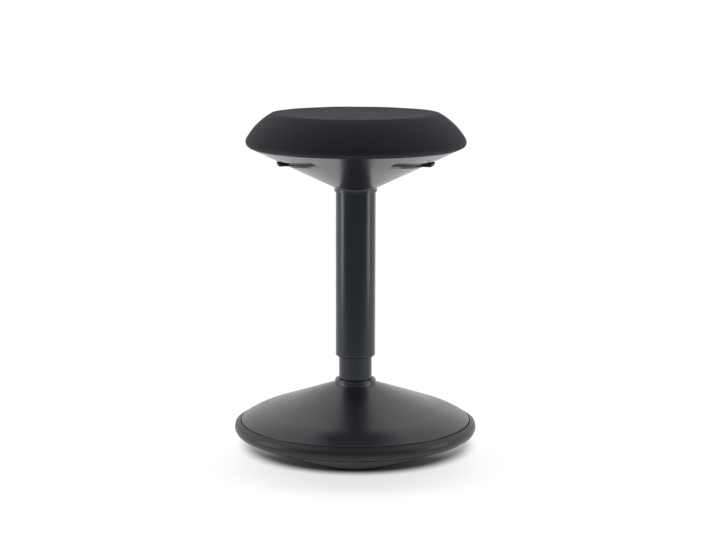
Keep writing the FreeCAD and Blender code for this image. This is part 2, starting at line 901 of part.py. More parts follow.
def make_right_lever():
    """Lever at +X: hub on its pin, nose, spokes, curved rim and finger tab."""
    rise = rim_t / cos(shell_slope)
    layer = spin([
        (rim_in_r - overlap, rim_z(rim_in_r - overlap)),
        (rim_in_r - overlap, rim_z(rim_in_r - overlap) + rise),
        (rim_reach_r, rim_z(rim_reach_r) + rise),
        (rim_reach_r, rim_z(rim_reach_r)),
    ])
    rim = layer.common(slot_prism(rim_in_r, rim_out_r, rim_half_angle,
                                  rim_z(rim_in_r) - overlap, board_z))
    root_r = slot_in_r + tab_root_gap
    tab_bottom_z = shell_z(slot_in_r) + tab_bottom_rise
    throat_r = root_r + tab_root_t
    tab = spin([
        (root_r + slot_centre_shift, tab_bottom_z, fine_round),
        (root_r + slot_centre_shift, rim_z(root_r) + rise / 2),
        (throat_r + slot_centre_shift, rim_z(throat_r) + rise / 2),
        (throat_r + slot_centre_shift, tab_bottom_z + tab_throat_t, fine_round),
        (tab_tip_r + slot_centre_shift, tab_bottom_z + tab_tip_t, tab_tip_round),
        (tab_tip_r + slot_centre_shift, tab_bottom_z, tab_tip_round),
    ], -tab_half_angle, 2 * tab_half_angle)
    tab.translate(Vector(-slot_centre_shift, 0, 0))
    hub_half = bridge_inner_half - side_gap
    hub = crossbar(hinge_x, hinge_hub_r, hub_half)
    nose_tip = crossbar(nose_x, nose_r, nose_half_width)
    nose_bar = block(nose_x, hinge_x, -nose_half_width, nose_half_width,
                     hinge_z - nose_bar_t / 2, hinge_z + nose_bar_t / 2)
    spoke_end_r = rim_in_r + spoke_lap
    spoke_z = rim_z(spoke_end_r) + spoke_rise
    pieces = [rim, tab, hub, nose_tip, nose_bar]
    for side in (-1, 1):
        y0 = side * spoke_y
        pieces.append(block(hinge_x, spoke_end_r, y0 - spoke_width / 2, y0 + spoke_width / 2,
                            spoke_z, spoke_z + spoke_t))
        end = slot_point(rim_in_r + overlap, side * brace_angle, 0)
        end.z = rim_z(math.hypot(end.x, end.y) + spoke_width / 2)
        root = Vector(bridge_length / 2 + brace_root_gap, y0, end.z)
        run = end - root
        brace = block(0, run.Length, -spoke_width / 2, spoke_width / 2, 0, spoke_t)
        brace.rotate(Vector(0, 0, 0), Vector(0, 0, 1), math.degrees(math.atan2(run.y, run.x)))
        brace.translate(root)
        pieces.append(brace)
    body = fuse(pieces)
    return body.cut(crossbar(hinge_x, hinge_pin_r + running_gap, hub_half + overlap))


def make_release_pin():
    return disc(release_pin_r, release_pin_top_z - release_pin_length, release_pin_top_z)


def make_release_cap():
    """Cap on the release pin that holds both lever noses."""
    slot_low = hinge_z - nose_r - nose_gap
    slot_high = hinge_z + nose_r + nose_gap
    body = disc(release_cap_r, release_pin_top_z, slot_high + release_cap_roof)
    for side in (-1, 1):
        x0, x1 = sorted((side * release_cap_web, side * (release_cap_r + overlap)))
        body = body.cut(block(x0, x1, -release_cap_r, release_cap_r, slot_low, slot_high))
    return body


def cushion_section():
    return [
        (0, cushion_bottom_z),
        (0, cushion_top_z - cushion_dish),
        (cushion_dish_r, cushion_top_z - cushion_dish, cushion_dish_round),
        (cushion_crease_r - cushion_crest_width, cushion_top_z, cushion_crest_round),
        (cushion_crease_r, cushion_top_z - cushion_crease_drop, cushion_crease_round),
        (cushion_crease_r + cushion_shoulder_width, cushion_top_z - cushion_shoulder_drop,
         cushion_flank_round),
        (board_r + cushion_overhang, cushion_bottom_z + cushion_roll_rise, cushion_roll_round),
        (cushion_tuck_r, cushion_bottom_z),
    ]


def make_cushion():
    """Fabric skin and the foam inside it."""
    outside = spin(cushion_section())
    inside = spin(inset(cushion_section(), fabric_t))
    skin = outside.cut(inside).cut(disc(hem_r, cushion_bottom_z - overlap, board_z))
    foam = inside.cut(disc(board_r, board_z - overlap, board_top_z))
    return skin, foam


def make_board():
    """Plywood board with bolt holes, T-nut recesses and hook mortises."""
    body = drilled(disc(board_r, board_z, board_top_z), t_nut_barrel_r, board_z - overlap,
                   board_top_z + overlap)
    body = drilled(body, t_nut_flange_r + fit_gap, board_top_z - t_nut_flange_t,
                   board_top_z + overlap)
    half_w = hook_width / 2 + hook_gap
    low_r = hook_r - hook_t / 2 - hook_gap
    for angle in around(hook_count, hook_first_angle):
        neck = block(low_r, hook_r + hook_t / 2 + hook_gap, -half_w, half_w,
                     board_z - overlap, board_z + hook_ledge + overlap)
        room = block(low_r, hook_r + hook_t / 2 + hook_barb + hook_gap, -half_w, half_w,
                     board_z + hook_ledge, board_z + hook_height + hook_gap)
        body = body.cut(turned(neck, angle)).cut(turned(room, angle))
    return body


def make_bolts():
    bolts = []
    for x, y in bolt_places():
        head = disc(bolt_head_r, plate_z - bolt_head_t, plate_z, (x, y))
        shank = disc(bolt_r, plate_z - overlap, board_top_z - bolt_tip_gap, (x, y))
        socket = disc(bolt_socket_r, plate_z - bolt_head_t - overlap,
                      plate_z - bolt_head_t + bolt_socket_depth, (x, y))
        bolts.append(head.fuse(shank).removeSplitter().cut(socket))
    return Part.makeCompound(bolts)


def make_t_nuts():
    nuts = []
    for place in bolt_places():
        flange = disc(t_nut_flange_r, board_top_z - t_nut_flange_t, board_top_z, place)
        barrel = disc(t_nut_barrel_r, board_top_z - t_nut_barrel, board_top_z, place)
        nuts.append(flange.fuse(barrel).removeSplitter().cut(
            disc(bolt_r, board_z, board_top_z + overlap, place)))
    return Part.makeCompound(nuts)


def make_staples():
    """Wire staples that hold the fabric's hem to the board."""
    half = staple_width / 2
    crown_z = cushion_bottom_z - staple_wire
    staple = block(0, staple_wire, -half, half, crown_z, cushion_bottom_z + staple_leg)
    throat = block(-overlap, staple_wire + overlap, staple_wire - half, half - staple_wire,
                   cushion_bottom_z, cushion_bottom_z + staple_leg + overlap)
    return ring_of(staple.cut(throat), hem_r + staple_inset, staple_count)


def build():
    """Every piece of the stool under its node's name."""
    skin, foam = make_cushion()
    right_lever = make_right_lever()
    left_lever = turned(right_lever, 180.0)
    cover_screw = screw(cover_joint_z + cover_screw_bite - cover_screw_seat_z,
                        cover_screw_seat_z, trim_screw_r, trim_screw_head_r, trim_screw_head_t)
    hub_screw = screw(hub_screw_length, hub_top_z, bolt_r, bolt_head_r, bolt_head_t, up=False)
    bump_stop = tube(piston_rod_r + fit_gap, bump_stop_r, rod_shoulder_z, bump_stop_top_z)
    return {
        "sole": make_sole(),
        "base_tub": make_tub(),
        "bumper_ring": make_ring(),
        "base_cover": make_cover(),
        "cover_screws": ring_of(cover_screw, cover_screw_circle_r, cover_screw_count),
        "ballast_ring": make_ballast(),
        "hub_socket": make_hub(),
        "hub_screws": ring_of(hub_screw, hub_screw_circle_r, pedestal_ribs),
        "stand_tube": tube(column_bore_r, stand_tube_r, hub_top_z, stand_tube_top_z),
        "tube_end_plate": make_end_plate(),
        "guide_bush": make_guide_bush(),
        "lower_bearing_race": race(lower_race_z, True),
        "bearing_balls": make_balls(),
        "ball_cage": make_cage(),
        "upper_bearing_race": race(upper_race_z, False),
        "piston_rod": make_piston_rod(),
        "rod_clip": make_rod_clip(),
        "bump_stop": bump_stop,
        "piston": tube(piston_rod_r, pressure_bore_r - running_gap, piston_z, piston_z + piston_t),
        "pressure_tube": make_pressure_tube(),
        "rod_guide": tube(piston_rod_r + running_gap, pressure_bore_r, rod_guide_z, rod_seal_z),
        "rod_seal": tube(piston_rod_r + running_gap, pressure_bore_r, rod_seal_z,
                         rod_seal_z + rod_seal_t),
        "sleeve": make_sleeve(),
        "sleeve_glide": make_glide(),
        "sleeve_centring_ring": make_centring_ring(),
        "taper_socket": make_socket(),
        "socket_bridge": make_bridge(),
        "seat_plate": make_seat_plate(),
        "plate_bolts": make_bolts(),
        "t_nuts": make_t_nuts(),
        "lever_hinge_pins": make_hinge_pins(),
        "left_lever": left_lever,
        "right_lever": right_lever,
        "release_pin": make_release_pin(),
        "release_cap": make_release_cap(),
        "seat_shell": make_shell(),
        "seat_board": make_board(),
        "hem_staples": make_staples(),
        "foam_pad": foam,
        "seat_upholstery": skin,
    }


os.makedirs("parts", exist_ok=True)
for name, shape in build().items():
    if not shape.isValid():
        print("not valid:", name)
    print(name, len(shape.Solids), "solids", round(shape.Volume / 1000.0, 2), "cm3")
    shape.exportStep("parts/" + name + ".step")
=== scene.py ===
"""Wobble stool: the looks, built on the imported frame. Metres, +Z up, front towards -Y."""
import logging
import math
from dataclasses import dataclass
from enum import Enum

import bmesh
import bpy
from mathutils import Matrix, Vector, noise


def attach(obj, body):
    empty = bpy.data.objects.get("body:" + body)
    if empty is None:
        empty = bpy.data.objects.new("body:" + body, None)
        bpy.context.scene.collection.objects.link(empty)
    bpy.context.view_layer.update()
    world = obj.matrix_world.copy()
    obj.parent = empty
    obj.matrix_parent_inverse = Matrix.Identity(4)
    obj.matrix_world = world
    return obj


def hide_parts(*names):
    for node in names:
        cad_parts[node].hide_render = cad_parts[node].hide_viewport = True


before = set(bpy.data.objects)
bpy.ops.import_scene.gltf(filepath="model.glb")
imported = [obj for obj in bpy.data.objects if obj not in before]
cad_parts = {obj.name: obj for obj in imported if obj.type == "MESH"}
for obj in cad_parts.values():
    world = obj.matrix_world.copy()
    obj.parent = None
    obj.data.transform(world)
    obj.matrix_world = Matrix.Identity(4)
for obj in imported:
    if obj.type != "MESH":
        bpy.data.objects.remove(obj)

MM = 0.001
CLOTH_MAP = "cloth"
NOISE_SPAN = (0.3, 0.7)
ON_AXIS = 1e-6
WHITE = (1.0, 1.0, 1.0)
Feed = bpy.types.NodeSocket | float
Colour = tuple[float, float, float]
Corner = tuple[float, ...]

logging.basicConfig(level=logging.INFO, format="%(levelname)s %(message)s")
log = logging.getLogger("wobble_stool")
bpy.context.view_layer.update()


class Body(Enum):
    """Moving body of the frame that carries the new piece."""

    SEAT = "seat"


class Effect(Enum):
    """Shared node groups that the finishes are made with."""

    GRAIN = "grain"
    HANDLING = "handling"
    KNIT = "knit"


def opaque(colour: Colour) -> tuple[float, float, float, float]:
    """The colour with full alpha."""
    return (*colour, 1.0)


def scaled(colour: Colour, factor: float) -> Colour:
    """The colour made lighter or darker by a factor."""
    return tuple(min(1.0, part * factor) for part in colour)


def link(tree: bpy.types.NodeTree, source: bpy.types.NodeSocket,
         target: bpy.types.NodeSocket) -> None:
    """Join two sockets of one node tree."""
    tree.links.new(source, target)


def set_inputs(node: bpy.types.Node, values: dict[str, float | tuple[float, ...]]) -> None:
    """Set a node's inputs by name."""
    for name, value in values.items():
        node.inputs[name].default_value = value


def add_math(tree: bpy.types.NodeTree, operation: str, first: Feed, second: Feed | None = None,
             third: Feed | None = None, clamp: bool = False) -> bpy.types.NodeSocket:
    """Add a Math node fed by sockets or numbers.

    Args:
        tree: Node tree that gets the node.
        operation: Name of the Math operation.
        first: Socket or number for the first input.
        second: Socket or number for the second input.
        third: Socket or number for the third input.
        clamp: Whether the result is held between 0 and 1.

    Returns:
        The node's result socket.
    """
    node = tree.nodes.new("ShaderNodeMath")
    node.operation = operation
    node.use_clamp = clamp
    for socket, value in zip(node.inputs, (first, second, third)):
        if isinstance(value, bpy.types.NodeSocket):
            link(tree, value, socket)
        elif value is not None:
            socket.default_value = value
    return node.outputs[0]


def add_noise(tree: bpy.types.NodeTree, vector: bpy.types.NodeSocket, scale: float,
              detail: float = 2.0, roughness: float = 0.5) -> bpy.types.NodeSocket:
    """Add a Noise texture at a scale in cycles per metre.

    Args:
        tree: Node tree that gets the node.
        vector: Place that the noise is read at.
        scale: Cycles per metre.
        detail: Number of finer octaves.
        roughness: Strength of the finer octaves.

    Returns:
        The noise value's socket.
    """
    node = tree.nodes.new("ShaderNodeTexNoise")
    set_inputs(node, {"Scale": scale, "Detail": detail, "Roughness": roughness})
    link(tree, vector, node.inputs["Vector"])
    return node.outputs["Fac"]


def add_range(tree: bpy.types.NodeTree, value: bpy.types.NodeSocket, low: float, high: float,
              to_low: float = 0.0, to_high: float = 1.0,
              smooth: bool = False) -> bpy.types.NodeSocket:
    """Map a value's range onto another one, clamped.

    Args:
        tree: Node tree that gets the node.
        value: Value to map.
        low: Value that becomes to_low.
        high: Value that becomes to_high.
        to_low: Result at the low end.
        to_high: Result at the high end.
        smooth: Whether the ends are eased instead of straight.

    Returns:
        The mapped value's socket.
    """
    node = tree.nodes.new("ShaderNodeMapRange")
    node.interpolation_type = "SMOOTHSTEP" if smooth else "LINEAR"
    set_inputs(node, {"From Min": low, "From Max": high, "To Min": to_low, "To Max": to_high})
    link(tree, value, node.inputs["Value"])
    return node.outputs["Result"]


def stretched(tree: bpy.types.NodeTree, vector: bpy.types.NodeSocket,
              scale: tuple[float, float, float],
              turn: tuple[float, float, float] = (0.0, 0.0, 0.0)) -> bpy.types.NodeSocket:
    """Scale a place differently along each axis.

    Args:
        tree: Node tree that gets the node.
        vector: Place to scale.
        scale: Factor along X, Y and Z.
        turn: Turn about X, Y and Z in radians.

    Returns:
        The scaled place's socket.
    """
    node = tree.nodes.new("ShaderNodeMapping")
    set_inputs(node, {"Scale": scale, "Rotation": turn})
    link(tree, vector, node.inputs["Vector"])
    return node.outputs["Vector"]


def split_axes(tree: bpy.types.NodeTree, vector: bpy.types.NodeSocket) -> bpy.types.Node:
    """Split a vector into its parts.

    Args:
        tree: Node tree that gets the node.
        vector: Vector to split.

    Returns:
        The node, whose outputs are X, Y and Z.
    """
    node = tree.nodes.new("ShaderNodeSeparateXYZ")
    link(tree, vector, node.inputs[0])
    return node


def new_group(name: str, numbers: dict[str, float], results: tuple[str, ...]
              ) -> tuple[bpy.types.NodeTree, bpy.types.Node, bpy.types.Node]:
    """Start a shader node group that reads a place and puts out values.

    Args:
        name: Name of the group.
        numbers: Named number inputs with their defaults.
        results: Names of the value outputs.

    Returns:
        The group tree, its input node and its output node.
    """
    tree = bpy.data.node_groups.new(name, "ShaderNodeTree")
    tree.interface.new_socket("Vector", in_out="INPUT", socket_type="NodeSocketVector")
    for label, value in numbers.items():
        socket = tree.interface.new_socket(label, in_out="INPUT", socket_type="NodeSocketFloat")
        socket.default_value = value
    for label in results:
        tree.interface.new_socket(label, in_out="OUTPUT", socket_type="NodeSocketFloat")
    return tree, tree.nodes.new("NodeGroupInput"), tree.nodes.new("NodeGroupOutput")


def grain_group() -> bpy.types.NodeTree:
    """Relief of a textured mould or casting: fine bumps with a slow unevenness.

    Returns:
        The group, which puts out Height and Patch.
    """
    tree, given, result = new_group("Surface grain", {"Pitch": 0.001, "Unevenness": 0.3},
                                    ("Height", "Patch"))
    place = tree.nodes.new("ShaderNodeVectorMath")
    place.operation = "SCALE"
    link(tree, given.outputs["Vector"], place.inputs[0])
    link(tree, add_math(tree, "DIVIDE", 1.0, given.outputs["Pitch"]), place.inputs["Scale"])
    cells = tree.nodes.new("ShaderNodeTexVoronoi")
    cells.feature = "SMOOTH_F1"
    set_inputs(cells, {"Scale": 1.0, "Smoothness": 0.6})
    link(tree, place.outputs[0], cells.inputs["Vector"])
    fine = add_noise(tree, place.outputs[0], scale=0.9, detail=3.0, roughness=0.6)
    patch = add_noise(tree, given.outputs["Vector"], scale=14.0, detail=3.0, roughness=0.55)
    height = add_math(tree, "ADD", cells.outputs["Distance"], fine)
    uneven = add_math(tree, "MULTIPLY", patch, given.outputs["Unevenness"])
    link(tree, add_math(tree, "ADD", height, uneven), result.inputs["Height"])
    link(tree, patch, result.inputs["Patch"])
    return tree


def handling_group() -> bpy.types.NodeTree:
    """Faint smudges and hairline scuffs that handling leaves.

    Returns:
        The group, which puts out Smudge and Scuff.
    """
    tree, given, result = new_group("Handling marks", {"Amount": 0.5}, ("Smudge", "Scuff"))
    broad = add_noise(tree, given.outputs["Vector"], scale=11.0, detail=4.0, roughness=0.6)
    smudge = add_range(tree, broad, low=0.48, high=0.72)
    hairs = stretched(tree, given.outputs["Vector"], scale=(40.0, 900.0, 260.0),
                      turn=(0.2, 0.5, 0.7))
    lines = add_range(tree, add_noise(tree, hairs, scale=1.0), low=0.70, high=0.78)
    scuff = add_math(tree, "MULTIPLY", lines, smudge)
    for mark, name in ((smudge, "Smudge"), (scuff, "Scuff")):
        link(tree, add_math(tree, "MULTIPLY", mark, given.outputs["Amount"]),
             result.inputs[name])
    return tree


def knit_group() -> bpy.types.NodeTree:
    """Interlocked loops of a fine knit, read on the cloth's own flat coordinates in metres.

    Returns:
        The group, which puts out Height and Yarn.
    """
    slant_of_legs, leg_place, leg_width, loop_share = 1.3, 0.25, 4.0, 0.55
    tree, given, result = new_group("Knit loops", {"Wale": 0.0011, "Course": 0.0009},
                                    ("Height", "Yarn"))
    parts = split_axes(tree, given.outputs["Vector"])
    across = add_math(tree, "DIVIDE", parts.outputs["X"], given.outputs["Wale"])
    along = add_math(tree, "DIVIDE", parts.outputs["Y"], given.outputs["Course"])
    from_middle = add_math(tree, "SUBTRACT", add_math(tree, "FRACT", across), 0.5)
    side = add_math(tree, "ABSOLUTE", from_middle)
    slant = add_math(tree, "MULTIPLY", side, slant_of_legs)
    phase = add_math(tree, "MULTIPLY", add_math(tree, "ADD", along, slant), 2.0 * math.pi)
    loop = add_math(tree, "MULTIPLY_ADD", add_math(tree, "COSINE", phase), 0.5, 0.5)
    from_leg = add_math(tree, "ABSOLUTE", add_math(tree, "SUBTRACT", side, leg_place))
    leg = add_math(tree, "SUBTRACT", 1.0, add_math(tree, "MULTIPLY", from_leg, leg_width))
    rounded = add_math(tree, "SQRT", add_math(tree, "MAXIMUM", leg, 0.0))
    raised = add_math(tree, "MULTIPLY_ADD", loop, loop_share, 1.0 - loop_share)
    link(tree, add_math(tree, "MULTIPLY", rounded, raised), result.inputs["Height"])
    link(tree, loop, result.inputs["Yarn"])
    return tree


class Effects:
    """The shared node groups, each made once and kept."""

    makers = {Effect.GRAIN: grain_group, Effect.HANDLING: handling_group,
              Effect.KNIT: knit_group}

    def __init__(self) -> None:
        """Start with no group made."""
        self._trees: dict[Effect, bpy.types.NodeTree] = {}

    def place(self, tree: bpy.types.NodeTree, effect: Effect, vector: bpy.types.NodeSocket,
              **numbers: float) -> bpy.types.Node:
        """Put a shared group into a material.

        Args:
            tree: Material's node tree.
            effect: Which group.
            vector: Place that the group reads.
            **numbers: Values for the group's number inputs.

        Returns:
            The group node.
        """
        if effect not in self._trees:
            self._trees[effect] = self.makers[effect]()
        node = tree.nodes.new("ShaderNodeGroup")
        node.node_tree = self._trees[effect]
        link(tree, vector, node.inputs["Vector"])
        set_inputs(node, numbers)
        return node


EFFECTS = Effects()


def start_material(name: str, colour: Colour) -> tuple[
        bpy.types.Material, bpy.types.NodeTree, bpy.types.Node, bpy.types.NodeSocket]:
    """New material with its shader and an Object coordinates socket.

    Args:
        name: Name of the material.
        colour: Plain base colour.

    Returns:
        The material, its node tree, its shader and the coordinates socket.
    """
    material = bpy.data.materials.new(name)
    material.use_nodes = True
    material.diffuse_color = opaque(colour)
    tree = material.node_tree
    shader = tree.nodes["Principled BSDF"]
    set_inputs(shader, {"Base Color": opaque(colour)})
    place = tree.nodes.new("ShaderNodeTexCoord")
    return material, tree, shader, place.outputs["Object"]


def vary_colour(tree: bpy.types.NodeTree, shader: bpy.types.Node, mask: bpy.types.NodeSocket,
                first: Colour, second: Colour) -> None:
    """Let a mask blend the shader's base colour between two tones.

    Args:
        tree: Material's node tree.
        shader: Shader whose Base Color is fed.
        mask: Blend from 0, the first tone, to 1, the second.
        first: Tone at 0.
        second: Tone at 1.
    """
    mix = tree.nodes.new("ShaderNodeMix")
    mix.data_type = "RGBA"
    set_inputs(mix, {"A": opaque(first), "B": opaque(second)})
    link(tree, mask, mix.inputs["Factor"])
    link(tree, mix.outputs["Result"], shader.inputs["Base Color"])


def bump(tree: bpy.types.NodeTree, shader: bpy.types.Node, height: bpy.types.NodeSocket,
         depth: float) -> None:
    """Feed a height map into the shader's normal.

    Args:
        tree: Material's node tree.
        shader: Shader that gets the normal.
        height: Height from 0 to about 1.
        depth: Real depth of that height in metres.
    """
    node = tree.nodes.new("ShaderNodeBump")
    set_inputs(node, {"Strength": 1.0, "Distance": depth})
    link(tree, height, node.inputs["Height"])
    link(tree, node.outputs["Normal"], shader.inputs["Normal"])


@dataclass(frozen=True)
class Moulding:
    """Moulded plastic with a textured mould's grain."""

    name: str
    colour: Colour
    roughness: float = 0.42
    roughness_swing: float = 0.05
    pitch: float = 0.0007
    unevenness: float = 0.25
    depth: float = 0.00002
    marks: float = 0.5
    polish: float = 0.06
    tones: tuple[float, float] = (0.9, 1.12)
    specular: float = 0.5
    tint: Colour = (0.94, 0.97, 1.0)

    def build(self) -> bpy.types.Material:
        """Make the material.

        Returns:
            The material: grain in colour, roughness and relief, shinier where handled.
        """
        material, tree, shader, place = start_material(self.name, self.colour)
        grain = EFFECTS.place(tree, Effect.GRAIN, place, Pitch=self.pitch,
                              Unevenness=self.unevenness)
        marks = EFFECTS.place(tree, Effect.HANDLING, place, Amount=self.marks)
        vary_colour(tree, shader, grain.outputs["Patch"],
                    *(scaled(self.colour, tone) for tone in self.tones))
        worn = add_math(tree, "ADD", marks.outputs["Smudge"], marks.outputs["Scuff"])
        base = add_range(tree, grain.outputs["Patch"], *NOISE_SPAN,
                         self.roughness - self.roughness_swing,
                         self.roughness + self.roughness_swing)
        link(tree, add_math(tree, "MULTIPLY_ADD", worn, -self.polish, base, clamp=True),
             shader.inputs["Roughness"])
        set_inputs(shader, {"Specular IOR Level": self.specular,
                            "Specular Tint": opaque(self.tint)})
        bump(tree, shader, grain.outputs["Height"], self.depth)
        return material


@dataclass(frozen=True)
class Rubber:
    """Soft matt rubber with a dry, slightly dusty skin."""

    name: str
    colour: Colour
    roughness: float = 0.72
    smoother: float = 0.06
    rougher: float = 0.08
    pitch: float = 0.0012
    unevenness: float = 0.4
    depth: float = 0.00004
    dust_tone: float = 1.7
    specular: float = 0.08

    def build(self) -> bpy.types.Material:
        """Make the material.

        Returns:
            The material: specks of dust over a fine grain.
        """
        material, tree, shader, place = start_material(self.name, self.colour)
        grain = EFFECTS.place(tree, Effect.GRAIN, place, Pitch=self.pitch,
                              Unevenness=self.unevenness)
        specks = add_noise(tree, place, scale=60.0, detail=5.0, roughness=0.65)
        vary_colour(tree, shader, add_range(tree, specks, low=0.45, high=0.75), self.colour,
                    scaled(self.colour, self.dust_tone))
        link(tree, add_range(tree, grain.outputs["Patch"], *NOISE_SPAN,
                             self.roughness - self.smoother, self.roughness + self.rougher),
             shader.inputs["Roughness"])
        set_inputs(shader, {"Specular IOR Level": self.specular})
        bump(tree, shader, grain.outputs["Height"], self.depth)
        return material


@dataclass(frozen=True)
class PowderCoat:
    """Powder-coated steel with a faint orange-peel skin."""

    name: str
    colour: Colour
    roughness: float = 0.3
    roughness_swing: float = 0.03
    peel: float = 0.0016
    unevenness: float = 0.2
    depth: float = 0.000012
    marks: float = 0.6
    grease: float = 0.05
    tones: tuple[float, float] = (0.92, 1.1)
    tint: Colour = (0.84, 0.91, 1.0)

    def build(self) -> bpy.types.Material:
        """Make the material.

        Returns:
            The material: a rippled skin, duller where hands have smudged it.
        """
        material, tree, shader, place = start_material(self.name, self.colour)
        grain = EFFECTS.place(tree, Effect.GRAIN, place, Pitch=self.peel,
                              Unevenness=self.unevenness)
        marks = EFFECTS.place(tree, Effect.HANDLING, place, Amount=self.marks)
        vary_colour(tree, shader, grain.outputs["Patch"],
                    *(scaled(self.colour, tone) for tone in self.tones))
        base = add_range(tree, grain.outputs["Patch"], *NOISE_SPAN,
                         self.roughness - self.roughness_swing,
                         self.roughness + self.roughness_swing)
        link(tree, add_math(tree, "MULTIPLY_ADD", marks.outputs["Smudge"], self.grease, base,
                            clamp=True), shader.inputs["Roughness"])
        set_inputs(shader, {"Specular Tint": opaque(self.tint)})
        bump(tree, shader, grain.outputs["Height"], self.depth)
        return material


@dataclass(frozen=True)
class BareMetal:
    """Bare or plated metal with turning lines round the column's axis."""

    name: str
    colour: Colour
    roughness: float = 0.28
    smoother: float = 0.07
    rougher: float = 0.1
    lines: float = 2600.0
    drift: float = 60.0
    depth: float = 0.000006
    marks: float = 0.7
    grease: float = 0.12
    smudge_tone: float = 0.82

    def build(self) -> bpy.types.Material:
        """Make the material.

        Returns:
            The material: fine turned lines and darker smudges.
        """
        material, tree, shader, place = start_material(self.name, self.colour)
        set_inputs(shader, {"Metallic": 1.0})
        squashed = stretched(tree, place, scale=(self.drift, self.drift, self.lines))
        turned = add_noise(tree, squashed, scale=1.0, detail=3.0, roughness=0.6)
        marks = EFFECTS.place(tree, Effect.HANDLING, place, Amount=self.marks)
        vary_colour(tree, shader, marks.outputs["Smudge"], self.colour,
                    scaled(self.colour, self.smudge_tone))
        base = add_range(tree, turned, *NOISE_SPAN, self.roughness - self.smoother,
                         self.roughness + self.rougher)
        link(tree, add_math(tree, "MULTIPLY_ADD", marks.outputs["Smudge"], self.grease, base,
                            clamp=True), shader.inputs["Roughness"])
        bump(tree, shader, turned, self.depth)
        return material


@dataclass(frozen=True)
class CastIron:
    """Rough sand-cast iron under thin black paint."""

    name: str
    colour: Colour
    rust: Colour = (0.16, 0.075, 0.035)
    roughness: tuple[float, float] = (0.55, 0.85)
    pitch: float = 0.0022
    unevenness: float = 0.8
    depth: float = 0.00012

    def build(self) -> bpy.types.Material:
        """Make the material.

        Returns:
            The material: pitted skin with rust where the paint is thin.
        """
        material, tree, shader, place = start_material(self.name, self.colour)
        grain = EFFECTS.place(tree, Effect.GRAIN, place, Pitch=self.pitch,
                              Unevenness=self.unevenness)
        pitted = add_noise(tree, place, scale=900.0, detail=4.0, roughness=0.7)
        pits = add_range(tree, pitted, low=0.35, high=0.7)
        rusty = add_noise(tree, place, scale=45.0, detail=5.0, roughness=0.7)
        vary_colour(tree, shader, add_range(tree, rusty, low=0.58, high=0.72), self.colour,
                    self.rust)
        link(tree, add_range(tree, pits, 0.0, 1.0, *self.roughness),
             shader.inputs["Roughness"])
        bump(tree, shader, add_math(tree, "ADD", grain.outputs["Height"], pits), self.depth)
        return material


@dataclass(frozen=True)
class Plywood:
    """Birch plywood: face grain on the flats and stripes of the plies on the edges."""

    name: str
    light: Colour
    dark: Colour
    ply: float = 0.0013
    figure_stretch: tuple[float, float, float] = (9.0, 160.0, 9.0)
    pore_stretch: tuple[float, float, float] = (120.0, 2400.0, 120.0)
    figure_share: float = 0.55
    stripe_share: float = 0.6
    pore_share: float = 0.3
    roughness: tuple[float, float] = (0.5, 0.65)
    depth: float = 0.00006

    def build(self) -> bpy.types.Material:
        """Make the material.

        Returns:
            The material: long grain and pores, with plies where the surface stands upright.
        """
        material, tree, shader, place = start_material(self.name, self.light)
        figure = add_noise(tree, stretched(tree, place, self.figure_stretch), scale=1.0,
                           detail=6.0, roughness=0.6)
        fine = add_noise(tree, stretched(tree, place, self.pore_stretch), scale=1.0)
        pore = add_range(tree, fine, low=0.6, high=0.8)
        turns = add_math(tree, "MULTIPLY", split_axes(tree, place).outputs["Z"],
                         math.pi / self.ply)
        stripe = add_math(tree, "MULTIPLY_ADD", add_math(tree, "SINE", turns), 0.5, 0.5)
        surface = tree.nodes.new("ShaderNodeNewGeometry")
        facing = split_axes(tree, surface.outputs["Normal"]).outputs["Z"]
        edge = add_math(tree, "SUBTRACT", 1.0, add_math(tree, "ABSOLUTE", facing), clamp=True)
        shown = add_math(tree, "MULTIPLY", stripe, edge)
        mask = add_math(tree, "ADD", add_math(tree, "MULTIPLY", figure, self.figure_share),
                        add_math(tree, "MULTIPLY", shown, self.stripe_share), clamp=True)
        mask = add_math(tree, "MULTIPLY_ADD", pore, self.pore_share, mask, clamp=True)
        vary_colour(tree, shader, mask, self.light, self.dark)
        link(tree, add_range(tree, figure, *NOISE_SPAN, *self.roughness),
             shader.inputs["Roughness"])
        bump(tree, shader, add_math(tree, "ADD", figure, pore), self.depth)
        return material


